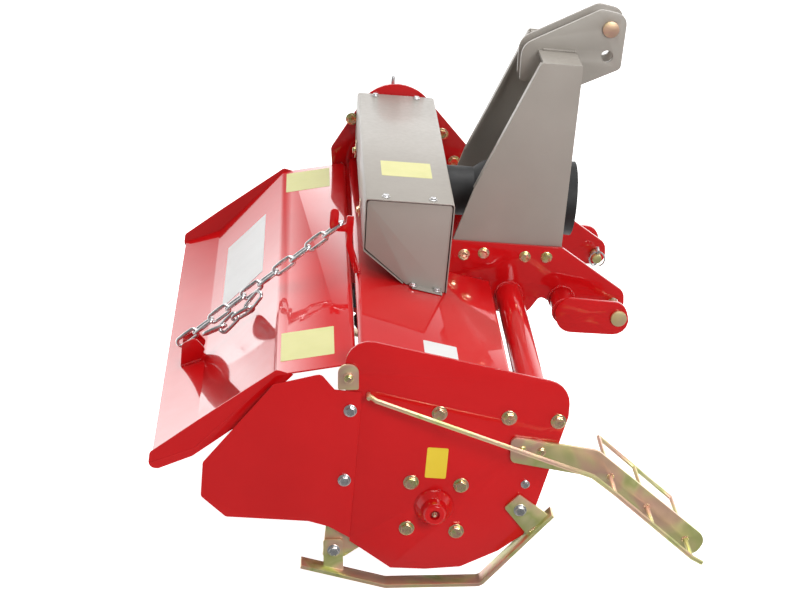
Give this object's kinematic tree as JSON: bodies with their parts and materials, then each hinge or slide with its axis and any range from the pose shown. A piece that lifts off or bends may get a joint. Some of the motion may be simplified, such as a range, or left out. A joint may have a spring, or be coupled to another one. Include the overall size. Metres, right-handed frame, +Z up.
{
  "type": "rotary tiller",
  "caption": "Tractor-mounted rotary tiller with a side drive, bladed rotor, hinged tailgate held by a chain, linkage hitch, skids and end guards.",
  "frame": {"origin": "on the floor, under the middle of the machine's bounding box", "axes": "+X forward towards the tractor, +Y to the machine's left, +Z up; the working width runs along Y"},
  "size_m": [1.1104, 1.5128, 0.982],
  "materials": {
    "red_paint": "glossy red enamel",
    "grey_paint": "satin warm grey enamel",
    "black_paint": "satin black paint",
    "black_plastic": "matte black moulded plastic",
    "yellow_zinc": "yellow zinc plating with a faint iridescence",
    "bright_zinc": "bright zinc plating",
    "grey_casting": "bare grey casting"
  },
  "bodies": {
    "frame": {"side_plate_right": "red_paint", "side_plate_left": "red_paint", "hood": "red_paint", "hub_right": "red_paint", "deflector_right": "red_paint", "deflector_left": "red_paint", "chain_case": "red_paint", "hitch_bracket_right": "red_paint", "hitch_bracket_left": "red_paint", "lower_clevis_right": "red_paint", "lower_clevis_left": "red_paint", "frame_tube": "red_paint", "chain_hook": "red_paint", "transmission_cover": "grey_paint", "cover_end_wall": "grey_paint", "mast_side_right": "grey_paint", "mast_side_left": "grey_paint", "mast_web": "grey_paint", "top_clevis_right": "grey_paint", "top_clevis_left": "grey_paint", "pto_guard": "black_plastic", "gearbox": "grey_casting", "hinge_clip_right": "yellow_zinc", "hinge_clip_left": "yellow_zinc", "lower_pin_right": "yellow_zinc", "lower_pin_left": "yellow_zinc", "top_link_pin": "yellow_zinc", "skid_right": "yellow_zinc", "skid_left": "yellow_zinc", "skid_hanger_right": "yellow_zinc", "skid_hanger_left": "yellow_zinc", "side_guard_right": "yellow_zinc", "side_guard_left": "yellow_zinc", "breather": "bright_zinc", "linch_pin_right": "bright_zinc", "linch_pin_left": "bright_zinc", "hinge_rod": "bright_zinc"},
    "rotor": {"rotor_shaft": "black_paint", "blade_set_1": "black_paint", "blade_set_2": "black_paint", "blade_set_3": "black_paint", "blade_set_4": "black_paint", "blade_set_5": "black_paint", "blade_set_6": "black_paint", "blade_set_7": "black_paint"},
    "input_shaft": {"pto_shaft": "bright_zinc"},
    "tailgate": {"tailgate": "red_paint", "chain_ear_right": "red_paint", "chain_ear_left": "red_paint"},
    "holding_chain": {"chain": "bright_zinc"}
  },
  "joints": [
    {"name": "rotor_spin", "type": "hinge", "parent": "frame", "child": "rotor", "pos_m": [0.00994, -0.66647, 0.172], "axis": [0, 1, 0], "continuous": true},
    {"name": "input_spin", "type": "hinge", "parent": "frame", "child": "input_shaft", "pos_m": [0.04376, 0.19853, 0.55852], "axis": [0.9962, 0, -0.0872], "continuous": true},
    {"name": "tailgate_lift", "type": "hinge", "parent": "frame", "child": "tailgate", "pos_m": [-0.15285, -0.66647, 0.46832], "axis": [0, 1, 0], "range_deg": [0, 50]},
    {"name": "chain_swing", "type": "hinge", "parent": "frame", "child": "holding_chain", "pos_m": [-0.16147, -0.17147, 0.60509], "axis": [0, 1, 0], "range_deg": [0, 47]}
  ],
  "couplings": [
    {"joint": "input_spin", "follows": "rotor_spin", "ratio": 2.5},
    {"joint": "chain_swing", "follows": "tailgate_lift", "ratio": 0.93}
  ]
}
